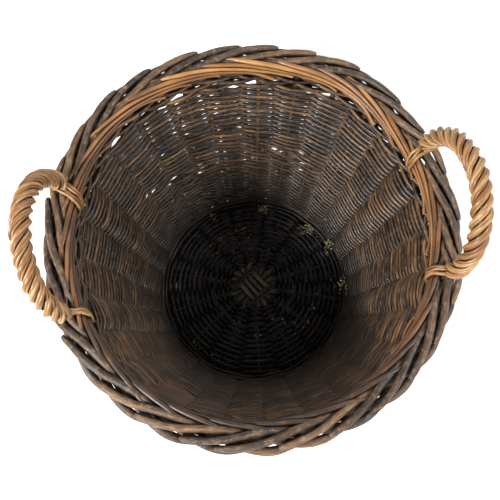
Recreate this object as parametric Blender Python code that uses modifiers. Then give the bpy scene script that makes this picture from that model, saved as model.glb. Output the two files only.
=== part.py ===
# Wicker log basket: a round basket of willow that widens from its foot to a rod border, with a
# roped handle on each side. Metres, +Z up; the origin is on the ground, at the centre of the foot.
# Places round the basket are counted in turns of one stake, clockwise from above: 28 make the circle.

import math

import bmesh
import bpy
from mathutils import Vector

# Driving dimensions
RIM_RADIUS = 0.261          # outer edge of the border
BASKET_HEIGHT = 0.375       # ground to the top of the border
FOOT_RADIUS = 0.170         # middle of the wall, where it leaves the foot
HANDLE_RISE = 0.088         # border top to the middle of the handle's grip
HANDLE_TURNS = 3            # stakes from one leg of a handle to the other
HANDLE_LEAN = math.radians(12)   # outward, in line with the wall
HANDLE_BELLY = 0.24         # how far the arch spreads past its legs

# Willow, and the room between pieces
STAKE_RADIUS = 0.0040
STICK_RADIUS = 0.0040       # base sticks
WALE_RADIUS = 0.0064        # heavy rods round the foot
BOW_RADIUS = 0.0045         # the stout rod inside a handle
ROPE_RADIUS = 0.0118        # a handle over its roping
TRAC_RADIUS = 0.0020        # thin rods inside the rim
WEAVE_THICKNESS = 0.0045    # side weave, through the wall
FLOOR_THICKNESS = 0.0030    # base weave, top to bottom
CLEARANCE = 0.0003          # between two pieces that touch
BAND_GAP = 0.0016           # between two rows of side weave
ROPE_GAP = 0.0020           # border top to the end of a roping
BORE_CLEARANCE = 0.0006     # roping round its bow

# How many
STAKES = 28
SPOKES = 14                 # ends of the seven base sticks
WEAVE_BANDS = 12
TRAC_TWISTS = 14
ROPE_LOBES = 4
ROPE_TWISTS = 2
ROPE_STEPS = 24

# The border's cross-section, from the point where a stake leaves the wall
BORDER_OUT = 0.0245         # wall middle to the border's outer edge
BORDER_UP = 0.0285          # wall top to the border's top
BORDER_STEP = 0.3           # turns between a border rod's points
BORDER_ROUTE = (            # turns, outward, upward: one stake's way through the border
    (0.0, 0.0000, 0.0040),
    (0.5, 0.0075, 0.0045),
    (1.0, 0.0115, 0.0060),
    (1.5, 0.0030, 0.0159),
    (2.0, -0.0090, 0.0155),
    (2.5, -0.0045, 0.0238),
    (3.0, 0.0080, 0.0245),
    (3.6, 0.0205, 0.0195),
)
STAKE_BEND = 0.009          # radius of a stake's bend into the border
BEND_STEPS = 3
LEG_DEPTH = 0.095           # handle leg below the top of the wall
LEG_PHASE = -0.17           # the leg stands just before its stake, in turns
LEG_PARTING = 0.0072        # how far a border rod bows outward round a leg
LEG_PARTING_IN = 0.00576    # and inward

# The foot and the base
SPOKE_HEIGHT = 0.0145       # middle of the spokes at the base's edge
SPOKE_REACH = 0.152         # end of a base stick
SPOKE_RADII = (0.048, 0.085, 0.120, SPOKE_REACH)
FLOOR_CROWN = 0.012         # rise of the base at its centre
SLATH_HALF = 0.026          # centre to where the crossed sticks open out
SLATH_SPACING = 0.010       # between base sticks where they cross
SLATH_GAP = 0.0007          # between the upper and the lower sticks
SLATH_HEADING = 18.5        # direction of the four upper sticks, in turns
FOOT_START = 0.119          # a stake's foot lies beside its base stick from here
FOOT_LEAVES = 0.147         # to here
FOOT_TURNS = (0.160, 0.09)  # then bears off: radius, and turns from its place in the wall
FOOT_LIFTS = (0.1665, 0.0182)    # and bends up: radius, height
WEAVE_FOOT = 0.0285         # bottom of the side weave
BASE_WEAVE_EDGES = (0.050, 0.073, 0.096, 0.1185, 0.1485)
FOOT_WALES = (("lower", 0.1710, WALE_RADIUS * math.cos(math.pi / 8)), ("upper", 0.1797, 0.0182))
WALE_SEGMENTS = 42
WALE_SIDES = 8
TRAC_PLACE = (-0.0100, 0.0030, 0.0024)   # outward, upward, and half the width of the wound pair

# Worked out from the above
WALL_TOP = BASKET_HEIGHT - BORDER_UP
WALL_TOP_RADIUS = RIM_RADIUS - BORDER_OUT
WEAVE_TOP = WALL_TOP - 0.0050
PATTERN_SHIFT = HANDLE_TURNS / 2 + LEG_PHASE - 1.0   # brings both handles onto the X axis
COLLECTION = "wicker_log_basket"


def material(name, colour, roughness):
    made = bpy.data.materials.new(name)
    made.use_nodes = True
    shader = made.node_tree.nodes["Principled BSDF"]
    shader.inputs["Base Color"].default_value = (*colour, 1.0)
    shader.inputs["Roughness"].default_value = roughness
    shader.inputs["Metallic"].default_value = 0.0
    return made


def add_object(name, data, finish):
    made = bpy.data.objects.new(name, data)
    data.materials.append(finish)
    bpy.data.collections[COLLECTION].objects.link(made)
    return made


def rod(name, points, radius, finish, sides=6, closed=False):
    """A round rod through the points, as a bevelled curve."""
    curve = bpy.data.curves.new(name, "CURVE")
    curve.dimensions = "3D"
    curve.bevel_depth = radius
    curve.bevel_resolution = (sides - 4) // 2
    curve.render_resolution_u = 0
    curve.use_fill_caps = not closed
    spline = curve.splines.new("POLY")
    spline.points.add(len(points) - 1)
    for place, point in zip(spline.points, points):
        place.co = (*point, 1.0)
    spline.use_cyclic_u = closed
    return add_object(name, curve, finish)


def strip_ring(name, edge_a, edge_b, thickness, finish):
    """A ring-shaped strip between two closed edges, thickened equally to both sides."""
    mesh = bpy.data.meshes.new(name)
    shape = bmesh.new()
    bmesh.ops.create_circle(shape, segments=len(edge_a), radius=1.0)
    first = list(shape.verts)
    out = bmesh.ops.extrude_edge_only(shape, edges=list(shape.edges))
    second = [item for item in out["geom"] if isinstance(item, bmesh.types.BMVert)]
    for vertex, point in zip(first, edge_a):
        vertex.co = point
    for vertex, point in zip(second, edge_b):
        vertex.co = point
    shape.to_mesh(mesh)
    shape.free()
    made = add_object(name, mesh, finish)
    shell = made.modifiers.new("thickness", "SOLIDIFY")
    shell.thickness = thickness
    shell.offset = 0.0
    shell.use_even_offset = True
    return made


def at(radius, turns, height):
    """The point at a radius, a place round the basket and a height."""
    angle = (PATTERN_SHIFT - turns) * math.tau / STAKES
    return Vector((radius * math.cos(angle), radius * math.sin(angle), height))


def as_turns(distance, radius):
    """A distance along the circle of this radius, in turns."""
    return distance / radius * STAKES / math.tau


def wall_radius(height):
    """Radius of the wall's middle, which opens evenly from the foot to the border."""
    share = (height - WEAVE_FOOT) / (WALL_TOP - WEAVE_FOOT)
    return FOOT_RADIUS + (WALL_TOP_RADIUS - FOOT_RADIUS) * share


def spoke_height(radius):
    """Height of the spokes' middle: the base is crowned."""
    return SPOKE_HEIGHT + FLOOR_CROWN * (1 - (radius / SPOKE_REACH) ** 2)


def along_border(turns):
    """A border rod's place once it has travelled this far: outward and upward, on a smooth curve."""
    last = len(BORDER_ROUTE) - 1
    index = max(i for i in range(last) if BORDER_ROUTE[i][0] <= turns)
    before, start = BORDER_ROUTE[max(index - 1, 0)], BORDER_ROUTE[index]
    end, after = BORDER_ROUTE[index + 1], BORDER_ROUTE[min(index + 2, last)]
    span = end[0] - start[0]
    t = (turns - start[0]) / span
    place = []
    for axis in (1, 2):
        slope_in = (end[axis] - before[axis]) / (end[0] - before[0]) * span
        slope_out = (after[axis] - start[axis]) / (after[0] - start[0]) * span
        place.append((2 * t ** 3 - 3 * t ** 2 + 1) * start[axis]
                     + (t ** 3 - 2 * t ** 2 + t) * slope_in
                     + (3 * t ** 2 - 2 * t ** 3) * end[axis]
                     + (t ** 3 - t ** 2) * slope_out)
    return place


def leg_places():
    """Where the four handle legs stand."""
    first = LEG_PHASE - 1.0
    half = STAKES / 2
    return (first, first + HANDLE_TURNS, first + half, first + half + HANDLE_TURNS)


def parting(turns, travelled):
    """Sideways bow of a border rod that passes a leg: inside it early on, outside it at the end."""
    if travelled < 1.3:
        return 0.0
    most = -LEG_PARTING_IN if travelled < 2.5 + LEG_PHASE else LEG_PARTING
    moved = 0.0
    for leg in leg_places():
        distance = abs((turns - leg + STAKES / 2) % STAKES - STAKES / 2)
        if distance < 0.5:
            moved += most * math.cos(math.pi * distance) ** 2
    return moved


def foot_points(stake):
    """A stake's foot beside its base stick, up to the bottom of the side weave."""
    side = -1 if stake % 2 == 0 else 1       # towards its base stick's end
    spoke = stake + side * 0.5
    beside = STICK_RADIUS + STAKE_RADIUS + CLEARANCE
    points = []
    for radius in (FOOT_START, FOOT_LEAVES):
        points.append(at(radius, spoke - side * as_turns(beside, radius), spoke_height(radius)))
    points.append(at(FOOT_TURNS[0], stake + side * FOOT_TURNS[1], SPOKE_HEIGHT))
    points.append(at(FOOT_LIFTS[0], stake, FOOT_LIFTS[1]))
    points.append(at(FOOT_RADIUS, stake, WEAVE_FOOT))
    return points


def border_points(stake):
    """A stake's end: bent over at the top of the wall, then laid clockwise through the border."""
    points = []
    for step in range(BEND_STEPS):
        angle = step * math.pi / 2 / BEND_STEPS
        travelled = as_turns(STAKE_BEND, WALL_TOP_RADIUS) * (1 - math.cos(angle))
        height = WALL_TOP + BORDER_ROUTE[0][2] - STAKE_BEND * (1 - math.sin(angle))
        radius = wall_radius(min(height, WALL_TOP)) + along_border(travelled)[0]
        points.append(at(radius, stake + travelled, height))
    length = BORDER_ROUTE[-1][0]
    steps = round(length / BORDER_STEP)
    for step in range(1, steps + 1):
        travelled = step * length / steps
        out, up = along_border(travelled)
        turns = stake + travelled
        radius = WALL_TOP_RADIUS + out + parting(turns, travelled)
        points.append(at(radius, turns, WALL_TOP + up))
    return points


def make_stakes(finish):
    for stake in range(STAKES):
        points = foot_points(stake) + border_points(stake)
        rod(f"stake_{stake + 1:02d}", points, STAKE_RADIUS, finish)


def make_base_sticks(finish):
    """Four sticks laid over three, opened out to evenly spaced spokes."""
    sets = (("upper", 4, SLATH_HEADING, 1), ("lower", 3, SLATH_HEADING + STAKES / 4, -1))
    spacing = STAKES / SPOKES
    for word, count, heading, layer in sets:
        run = at(1.0, heading, 0.0)
        side = at(1.0, heading + STAKES / 4, 0.0)
        level = spoke_height(SLATH_HALF) + layer * (STICK_RADIUS + SLATH_GAP / 2)
        for index in range(count):
            place = index - (count - 1) / 2
            arms = []
            for sign, flip in ((1, 0), (-1, STAKES / 2)):
                start = run * (SLATH_HALF * sign) + side * (place * SLATH_SPACING)
                start.z = level
                turns = heading + flip + spacing * place * sign
                arms.append([start] + [at(r, turns, spoke_height(r)) for r in SPOKE_RADII])
            points = list(reversed(arms[1])) + arms[0]
            rod(f"base_stick_{word}_{index + 1}", points, STICK_RADIUS, finish)


def make_floor_weave(finish):
    """Rings of base weave that pass over and under the spokes in turn."""
    swing = STICK_RADIUS + FLOOR_THICKNESS / 2 + 2 * CLEARANCE
    for ring in range(len(BASE_WEAVE_EDGES) - 1):
        inner = BASE_WEAVE_EDGES[ring] + CLEARANCE
        outer = BASE_WEAVE_EDGES[ring + 1] - CLEARANCE
        half = STICK_RADIUS + 0.001
        if outer > FOOT_START:               # the stakes' feet lie beside the sticks here
            half += 2 * STAKE_RADIUS + CLEARANCE
        edges = {inner: [], outer: []}
        for spoke in range(SPOKES):
            level = swing if (spoke + ring) % 2 == 0 else -swing
            middle = spoke * STAKES / SPOKES - 0.5
            for side in (-1, 1):
                for radius, edge in edges.items():
                    turns = middle + side * as_turns(half, radius)
                    edge.append(at(radius, turns, spoke_height(radius) + level))
        strip_ring(f"base_weave_{ring + 1}", edges[inner], edges[outer], FLOOR_THICKNESS, finish)


def make_foot_wale(finish):
    """Two heavy rings round the foot; the flat underside of the lower one bears on the ground."""
    half_side = math.pi / WALE_SIDES         # turns the section so that a flat side is lowest
    for word, ring_radius, height in FOOT_WALES:
        bpy.ops.mesh.primitive_torus_add(
            major_radius=ring_radius, minor_radius=WALE_RADIUS,
            major_segments=WALE_SEGMENTS, minor_segments=WALE_SIDES)
        ring = bpy.context.object
        ring.name = f"foot_wale_{word}"
        for vertex in ring.data.vertices:
            around = math.atan2(vertex.co.y, vertex.co.x)
            out = math.hypot(vertex.co.x, vertex.co.y) - ring_radius
            up = vertex.co.z
            reach = ring_radius + out * math.cos(half_side) - up * math.sin(half_side)
            rise = out * math.sin(half_side) + up * math.cos(half_side)
            vertex.co = (reach * math.cos(around), reach * math.sin(around), height + rise)
        ring.data.materials.append(finish)
        for collection in list(ring.users_collection):
            collection.objects.unlink(ring)
        bpy.data.collections[COLLECTION].objects.link(ring)


def wall_corners():
    """Places where the side weave bends: at each stake, and at a leg beside its stake."""
    corners = [(stake, stake % 2) for stake in range(STAKES)]
    for leg in leg_places():
        corners.append(((leg + STAKES) % STAKES, round(leg - LEG_PHASE) % 2))
    return sorted(corners)


def make_side_weave(finish, top_finish):
    """Bands of weave, each in front of one stake and behind the next, changing from band to band."""
    height = (WEAVE_TOP - WEAVE_FOOT) / WEAVE_BANDS
    slope = math.atan((WALL_TOP_RADIUS - FOOT_RADIUS) / (WALL_TOP - WEAVE_FOOT))
    swing = (BOW_RADIUS + WEAVE_THICKNESS / 2 + 3 * CLEARANCE) / math.cos(slope)
    for band in range(WEAVE_BANDS):
        low = WEAVE_FOOT + band * height + BAND_GAP / 2
        high = WEAVE_FOOT + (band + 1) * height - BAND_GAP / 2
        edges = []
        for level in (low, high):
            edge = []
            for turns, parity in wall_corners():
                side = 1 if (parity + band) % 2 == 0 else -1
                edge.append(at(wall_radius(level) + side * swing, turns, level))
            edges.append(edge)
        top = band == WEAVE_BANDS - 1
        name = "top_wale" if top else f"side_weave_{band + 1:02d}"
        strip_ring(name, edges[0], edges[1], WEAVE_THICKNESS, top_finish if top else finish)


def make_inner_trac(finish):
    """Two thin rods wound round each other inside the rim, under the border's inner edge."""
    out, up, swing = TRAC_PLACE
    for word, phase in (("a", 0.0), ("b", math.pi)):
        points = []
        for step in range(2 * STAKES):
            turns = step / 2
            wind = phase + TRAC_TWISTS * math.tau * turns / STAKES
            radius = WALL_TOP_RADIUS + out + swing * math.cos(wind)
            points.append(at(radius, turns, WALL_TOP + up + swing * math.sin(wind)))
        rod(f"inner_trac_{word}", points, TRAC_RADIUS, finish, sides=4, closed=True)


def handle_line(side):
    """Middle line of a handle from one leg to the other: an arch above the border."""
    half = HANDLE_TURNS / 2 * math.tau / STAKES
    spread = WALL_TOP_RADIUS * math.sin(half)
    out = WALL_TOP_RADIUS * math.cos(half)
    points = []
    for step in range(ROPE_STEPS + 1):
        angle = math.pi * step / ROPE_STEPS
        belly = 1 + HANDLE_BELLY * math.sin(angle)
        across = spread * belly * math.copysign(abs(math.cos(angle)) ** 1.1, math.cos(angle))
        rise = HANDLE_RISE * abs(math.sin(angle)) ** 1.1
        points.append(Vector((side * (out + rise * math.tan(HANDLE_LEAN)), side * across,
                              BASKET_HEIGHT + ROPE_GAP + rise)))
    return points


def leg_points(end):
    """A leg below this end of the arch: its tip down in the wall, and its top at the border."""
    top = Vector((end.x, end.y, WALL_TOP))
    tip_height = WALL_TOP - LEG_DEPTH
    inward = wall_radius(tip_height) / WALL_TOP_RADIUS
    return [Vector((end.x * inward, end.y * inward, tip_height)), top]


def make_handles(bow_finish, rope_finish):
    for word, side in (("left", -1), ("right", 1)):
        arch = handle_line(side)
        points = leg_points(arch[0]) + arch + list(reversed(leg_points(arch[-1])))
        rod(f"handle_bow_{word}", points, BOW_RADIUS, bow_finish)
        make_roping(f"handle_roping_{word}", arch, rope_finish)


def directions(line, index):
    """Along the line at one of its points, and the two directions across it."""
    upright = Vector((0.0, 0.0, 1.0))
    back = upright if index == 0 else (line[index] - line[index - 1]).normalized()
    ahead = -upright if index == len(line) - 1 else (line[index + 1] - line[index]).normalized()
    along = (back + ahead).normalized()
    across = along.cross(Vector((line[index].x, 0.0, 0.0))).normalized()
    return across.cross(along), across


def make_roping(name, line, finish):
    """The sleeve of twisted rods on a bow: lobes that wind along it, with a bore for the bow."""
    around = 2 * ROPE_LOBES
    bore = (BOW_RADIUS + BORE_CLEARANCE) / math.cos(math.pi / around)
    travelled = [0.0]
    for before, after in zip(line, line[1:]):
        travelled.append(travelled[-1] + (after - before).length)
    shape = bmesh.new()
    sections = []
    for index, point in enumerate(line):
        outward, across = directions(line, index)
        twist = ROPE_TWISTS * math.tau * travelled[index] / travelled[-1]
        inner = []
        outer = []
        for corner in range(around):
            angle = math.tau * corner / around
            reach = ROPE_RADIUS * (1.0 if corner % 2 == 0 else 0.86)
            twisted = outward * math.cos(angle + twist) + across * math.sin(angle + twist)
            plain = outward * math.cos(angle) + across * math.sin(angle)
            outer.append(shape.verts.new(point + twisted * reach))
            inner.append(shape.verts.new(point + plain * bore))
        sections.append((inner, outer))
    for (inner_a, outer_a), (inner_b, outer_b) in zip(sections, sections[1:]):
        for corner in range(around):
            following = (corner + 1) % around
            shape.faces.new((outer_a[corner], outer_a[following],
                             outer_b[following], outer_b[corner]))
            shape.faces.new((inner_a[following], inner_a[corner],
                             inner_b[corner], inner_b[following]))
    for inner, outer in (sections[0], sections[-1]):
        for corner in range(around):
            following = (corner + 1) % around
            shape.faces.new((inner[corner], inner[following], outer[following], outer[corner]))
    bmesh.ops.recalc_face_normals(shape, faces=list(shape.faces))
    mesh = bpy.data.meshes.new(name)
    shape.to_mesh(mesh)
    shape.free()
    add_object(name, mesh, finish)


def main():
    for old in list(bpy.data.objects):
        bpy.data.objects.remove(old)
    parts = bpy.data.collections.new(COLLECTION)
    bpy.context.scene.collection.children.link(parts)
    dark_willow = material("dark_willow", (0.060, 0.040, 0.027), 0.75)
    grey_willow = material("grey_brown_willow", (0.085, 0.062, 0.048), 0.70)
    floor_willow = material("floor_willow", (0.020, 0.018, 0.017), 0.80)
    buff_willow = material("buff_willow", (0.42, 0.22, 0.085), 0.55)
    golden_willow = material("golden_willow", (0.52, 0.31, 0.13), 0.50)
    make_base_sticks(floor_willow)
    make_floor_weave(floor_willow)
    make_stakes(grey_willow)
    make_foot_wale(dark_willow)
    make_side_weave(dark_willow, grey_willow)
    make_inner_trac(buff_willow)
    make_handles(golden_willow, golden_willow)


main()
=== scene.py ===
import math
import random

import bpy
from mathutils import Matrix, Vector, noise


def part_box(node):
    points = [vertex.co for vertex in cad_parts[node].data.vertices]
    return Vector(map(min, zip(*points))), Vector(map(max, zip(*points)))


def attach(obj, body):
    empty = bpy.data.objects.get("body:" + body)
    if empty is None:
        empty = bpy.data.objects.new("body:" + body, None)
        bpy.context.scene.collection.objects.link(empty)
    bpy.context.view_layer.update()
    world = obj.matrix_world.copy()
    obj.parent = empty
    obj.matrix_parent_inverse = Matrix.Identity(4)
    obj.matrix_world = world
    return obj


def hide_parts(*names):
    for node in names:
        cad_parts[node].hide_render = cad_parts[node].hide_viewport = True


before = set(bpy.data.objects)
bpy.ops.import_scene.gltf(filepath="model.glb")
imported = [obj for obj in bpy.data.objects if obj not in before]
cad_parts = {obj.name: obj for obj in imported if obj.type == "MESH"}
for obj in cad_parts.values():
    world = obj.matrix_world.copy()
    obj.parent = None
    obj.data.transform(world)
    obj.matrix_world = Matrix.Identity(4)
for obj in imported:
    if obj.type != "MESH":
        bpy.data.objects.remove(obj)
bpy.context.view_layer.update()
print("frame loaded,", len(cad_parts), "nodes")

# The basket's own measures, in metres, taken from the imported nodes. Places round it are counted in turns of
# one stake, clockwise from above.
stakeCount = 28
spokeCount = 14
borderTop = max(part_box(f"stake_{n + 1:02d}")[1].z for n in range(stakeCount))
waleLow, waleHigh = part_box("top_wale")
basket = {
    "wallTop": borderTop - 0.0285,  # where the stakes bend into the border
    "wallTopRadius": (waleHigh.x - waleLow.x) / 2 - 0.0089,  # to the middle of the wall
    "weaveFoot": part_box("side_weave_01")[0].z - 0.0008,
    "footRadius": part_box("foot_wale_lower")[1].x - 0.0074,
    "spokeHeight": 0.0145,  # the base stands clear of the ground on its foot wale
    "floorCrown": 0.012,
    "spokeReach": 0.152,
    "roundUpTo": 0.03,  # the foot is round, and the mouth's swell grows from here up
    "turnShift": 0.33,  # brings both handles onto the X axis
    "legs": (-1.17, 1.83, 12.83, 15.83),  # handle legs, in turns
}
# a hand-woven mouth isn't quite round: heading in degrees, swell as a share of the radius, reach in degrees
mouthSwell = ((128.0, 0.040, 28.0), (88.0, 0.018, 24.0), (52.0, 0.046, 18.0), (250.0, 0.008, 40.0))
noiseShift = (31.7, -12.3, 5.1)


def place(radius, turns, height):
    angle = (basket["turnShift"] - turns) * math.tau / stakeCount
    share = min(1.0, max(0.0, (height - basket["roundUpTo"]) / (basket["wallTop"] - basket["roundUpTo"])))
    for heading, swell, reach in mouthSwell:
        gap = (math.degrees(angle) - heading + 180) % 360 - 180
        radius *= 1 + swell * share * math.exp(-(gap / reach) ** 2)
    return Vector((radius * math.cos(angle), radius * math.sin(angle), height))


def placeAtRim(out, turns, up):
    # outward and upward from the top of the wall
    return place(basket["wallTopRadius"] + out, turns, basket["wallTop"] + up)


def turnsApart(turns, other):
    # signed, by the shorter way round the basket
    return (turns - other + stakeCount / 2) % stakeCount - stakeCount / 2


def wallRadius(height):
    share = (height - basket["weaveFoot"]) / (basket["wallTop"] - basket["weaveFoot"])
    return basket["footRadius"] + (basket["wallTopRadius"] - basket["footRadius"]) * share


def spokeHeight(radius):
    return basket["spokeHeight"] + basket["floorCrown"] * (1 - (radius / basket["spokeReach"]) ** 2)


def smoothThrough(knots, at):
    # knots are (position, value, value ...); a smooth curve through them, read at one position
    last = len(knots) - 1
    at = min(max(at, knots[0][0]), knots[last][0])
    index = max(i for i in range(last) if knots[i][0] <= at)
    before, start = knots[max(index - 1, 0)], knots[index]
    end, after = knots[index + 1], knots[min(index + 2, last)]
    span = end[0] - start[0]
    t = (at - start[0]) / span
    values = []
    for axis in range(1, len(start)):
        slopeIn = (end[axis] - before[axis]) / (end[0] - before[0]) * span
        slopeOut = (after[axis] - start[axis]) / (after[0] - start[0]) * span
        values.append((2 * t ** 3 - 3 * t ** 2 + 1) * start[axis] + (t ** 3 - 2 * t ** 2 + t) * slopeIn
                      + (3 * t ** 2 - 2 * t ** 3) * end[axis] + (t ** 3 - t ** 2) * slopeOut)
    return values


def wander(x, y, z=0.0):
    # -1 to 1, the same each run
    return noise.noise(Vector((x + noiseShift[0], y + noiseShift[1], z + noiseShift[2])))


def hexColour(text):
    channels = [int(text[i:i + 2], 16) / 255 for i in (1, 3, 5)]
    linear = [c / 12.92 if c <= 0.04045 else ((c + 0.055) / 1.055) ** 2.4 for c in channels]
    return (*linear, 1.0)


def addNode(tree, kind, links=None, out=0, **settings):
    # one node, with its own settings, its input values and its links; gives back one of its outputs
    made = tree.nodes.new(kind)
    for key, value in settings.items():
        setattr(made, key, value)
    for key, value in (links or {}).items():
        socket = made.inputs[key]
        if isinstance(value, bpy.types.NodeSocket):
            tree.links.new(value, socket)
        else:
            socket.default_value = value
    return made.outputs[out] if made.outputs else None


def setRamp(colour, stops):
    ramp = colour.node.color_ramp
    while len(ramp.elements) < len(stops):
        ramp.elements.new(0.5)
    for element, (position, colour) in zip(ramp.elements, stops):
        element.position = position
        element.color = hexColour(colour)


# what all willow skins share, unless one says otherwise: the span of each noise that shows, and how painted shade
# lies on them, low on the wall and in the gaps. The gap shading says when a gap counts as closed, how dark it is
# painted there, how light open bark is painted.
allSkins = {
    "wearSpan": (0.50, 0.68), "streakSpan": (0.36, 0.61), "driftSpan": (0.3, 0.7), "shineSpan": (0.3, 0.7),
    "driftPerMetre": (60.0, 60.0, 22.0), "grainStretch": 6, "tintSpread": 0.0, "footShadeTop": 0.0,
    # painted shade, darker towards the foot of the wall; off unless a skin gives it a top height
    "footShadeColour": "#28211a", "footShadePatch": 22.0, "footShadeEdge": -0.08, "footShadeFade": 0.04, "footShadeMost": 0.85,
    # painted shade where rods lie close together, and painted light on open bark
    "crevice": 0.008, "paintedCreviceShading": (0.25, 0.12, 1.2), "openGap": 0.92, "gapSamples": 8, "reliefDepth": 0.0004,
    "ior": 1.5, "specular": 0.5
}


def willow(name, own):
    # rodPlace runs straight along each rod in metres, so grain, streaks and bark marks follow it
    look = {**allSkins, **own}
    made = bpy.data.materials.new(name)
    made.use_nodes = True
    tree = made.node_tree
    shader = tree.nodes["Principled BSDF"]
    rodPlace = addNode(tree, "ShaderNodeAttribute", out="Vector", attribute_name="rodPlace")
    rodTint = addNode(tree, "ShaderNodeAttribute", out="Fac", attribute_name="rodTint")
    streak, mottle, grain = 1 / look["streakWidth"], 1 / look["mottleSize"], 1 / look["grainWidth"]
    noises = {}
    for title, perMetre, detail, roughness in (
            ("streak", (streak, streak, 1 / look["streakLength"]), 3.0, 0.6),
            ("mottle", (mottle, mottle, mottle), 4.0, 0.65),
            ("grain", (grain, grain, grain / look["grainStretch"]), 2.0, 0.5),
            ("patch", look["driftPerMetre"], 2.0, 0.5)):
        spot = addNode(tree, "ShaderNodeVectorMath", {0: rodPlace, 1: perMetre}, operation="MULTIPLY")
        noises[title] = addNode(tree, "ShaderNodeTexNoise", {
            "Vector": spot, "Scale": 1.0, "Detail": detail, "Roughness": roughness}, out="Fac")
    spans = {}
    for title, source, (least, most), (low, high) in (
            ("drift", "patch", look["driftSpan"], (-look["tintSpread"], look["tintSpread"])),
            ("wear", "mottle", look["wearSpan"], (0.0, look["wearAmount"])),
            ("shade", "streak", look["streakSpan"], (look["streakDark"], look["streakLight"])),
            ("shine", "mottle", look["shineSpan"], look["roughness"])):
        spans[title] = addNode(tree, "ShaderNodeMapRange", {
            "Value": noises[source], "From Min": least, "From Max": most, "To Min": low, "To Max": high})
    # a rod changes shade along its length, so no row stands out as one ring of colour
    tint = addNode(tree, "ShaderNodeMath", {0: rodTint, 1: spans["drift"]}, operation="ADD", use_clamp=True)
    base = addNode(tree, "ShaderNodeValToRGB", {"Fac": tint})
    setRamp(base, look["rodColours"])
    # a colour mix names its sockets again for each data type, so they go by index
    worn = addNode(tree, "ShaderNodeMix", {0: spans["wear"], 6: base, 7: hexColour(look["wearColour"])}, out=2,
                   data_type="RGBA")
    colour = addNode(tree, "ShaderNodeVectorMath", {0: worn, "Scale": spans["shade"]}, operation="SCALE")
    if look["footShadeTop"]:
        # painted shade: the colour darkens thickly at the foot of the wall and thins out upward, with a mottled
        # edge
        spot = addNode(tree, "ShaderNodeTexCoord", out="Object")
        height = addNode(tree, "ShaderNodeSeparateXYZ", {0: spot}, out="Z")
        patch = addNode(tree, "ShaderNodeTexNoise", {"Vector": spot, "Scale": look["footShadePatch"], "Detail": 3.0},
                        out="Fac")
        edge = addNode(tree, "ShaderNodeMath", {0: patch, 1: look["footShadeEdge"], 2: height},
                       operation="MULTIPLY_ADD")
        paintedFootShade = addNode(tree, "ShaderNodeMapRange", {
            "Value": edge, "From Min": 0.0, "From Max": look["footShadeTop"] - look["footShadeFade"],
            "To Min": look["footShadeMost"], "To Max": 0.0})
        colour = addNode(tree, "ShaderNodeMix", {0: paintedFootShade, 6: colour, 7: hexColour(look["footShadeColour"])}, out=2,
                         data_type="RGBA")
    # painted shade: ambient occlusion darkens the colour where rods lie close together, and painted light
    # brightens open bark, so every rod reads on its own
    nearby = addNode(tree, "ShaderNodeAmbientOcclusion", {"Distance": look["crevice"]}, out="AO",
                     samples=look["gapSamples"])
    closedGap, gapShade, openShade = look["paintedCreviceShading"]
    paintedCreviceShading = addNode(tree, "ShaderNodeMapRange", {
        "Value": nearby, "From Min": closedGap, "From Max": look["openGap"], "To Min": gapShade,
        "To Max": openShade})
    colour = addNode(tree, "ShaderNodeVectorMath", {0: colour, "Scale": paintedCreviceShading}, operation="SCALE")
    relief = addNode(tree, "ShaderNodeMath", {0: noises["streak"], 1: noises["grain"]}, operation="ADD")
    bump = addNode(tree, "ShaderNodeBump", {
        "Height": relief, "Strength": look["bump"], "Distance": look["reliefDepth"]})
    for title, source in (("Base Color", colour), ("Roughness", spans["shine"]), ("Normal", bump)):
        tree.links.new(source, shader.inputs[title])
    shader.inputs["IOR"].default_value = look["ior"]
    shader.inputs["Specular IOR Level"].default_value = look["specular"]
    return made


cutFace = {"barkRadius": 0.0044, "roughness": 0.8}  # the rings are spread over a stout rod's radius


def cutWillow(name, wood, pith, rim):
    # a rod's cut end: pale wood in fine rings, a brown pith and a thin rim of bark
    made = bpy.data.materials.new(name)
    made.use_nodes = True
    tree = made.node_tree
    shader = tree.nodes["Principled BSDF"]
    rodPlace = addNode(tree, "ShaderNodeAttribute", out="Vector", attribute_name="rodPlace")
    flat = addNode(tree, "ShaderNodeVectorMath", {0: rodPlace, 1: (1.0, 1.0, 0.0)}, operation="MULTIPLY")
    fromPith = addNode(tree, "ShaderNodeVectorMath", {0: flat}, out="Value", operation="LENGTH")
    share = addNode(tree, "ShaderNodeMath", {0: fromPith, 1: cutFace["barkRadius"]}, operation="DIVIDE")
    rings = addNode(tree, "ShaderNodeValToRGB", {"Fac": share})
    setRamp(rings, ((0.0, pith), (0.16, pith), (0.24, wood), (0.55, wood), (0.60, pith), (0.66, wood),
                    (0.88, wood), (0.96, rim)))
    tree.links.new(rings, shader.inputs["Base Color"])
    shader.inputs["Roughness"].default_value = cutFace["roughness"]
    return made


# In each skin, sizes are in metres; streaks and grain are a little coarser than real ones, so that they show.

# unpeeled willow: dry bark, dull to satin, brown with darker streaks along the rod
darkBark = willow("unpeeled willow bark", {
    "rodColours": ((0.0, "#251a12"), (0.35, "#3f2c1c"), (0.65, "#563d26"), (0.90, "#694b2d"), (1.0, "#7d5a33")),
    # painted shade: the wall is painted darker towards its foot, up to the height given here
    "wearColour": "#7a6045", "wearAmount": 0.50, "tintSpread": 0.32, "footShadeTop": 0.19,
    # painted shade in the gaps between rods, and painted light on open bark
    "paintedCreviceShading": (0.36, 0.07, 1.30),
    "streakWidth": 0.0024, "streakLength": 0.024, "streakDark": 0.14, "streakLight": 1.20,
    "mottleSize": 0.009, "grainWidth": 0.0005, "roughness": (0.24, 0.62), "bump": 0.6})
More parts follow.
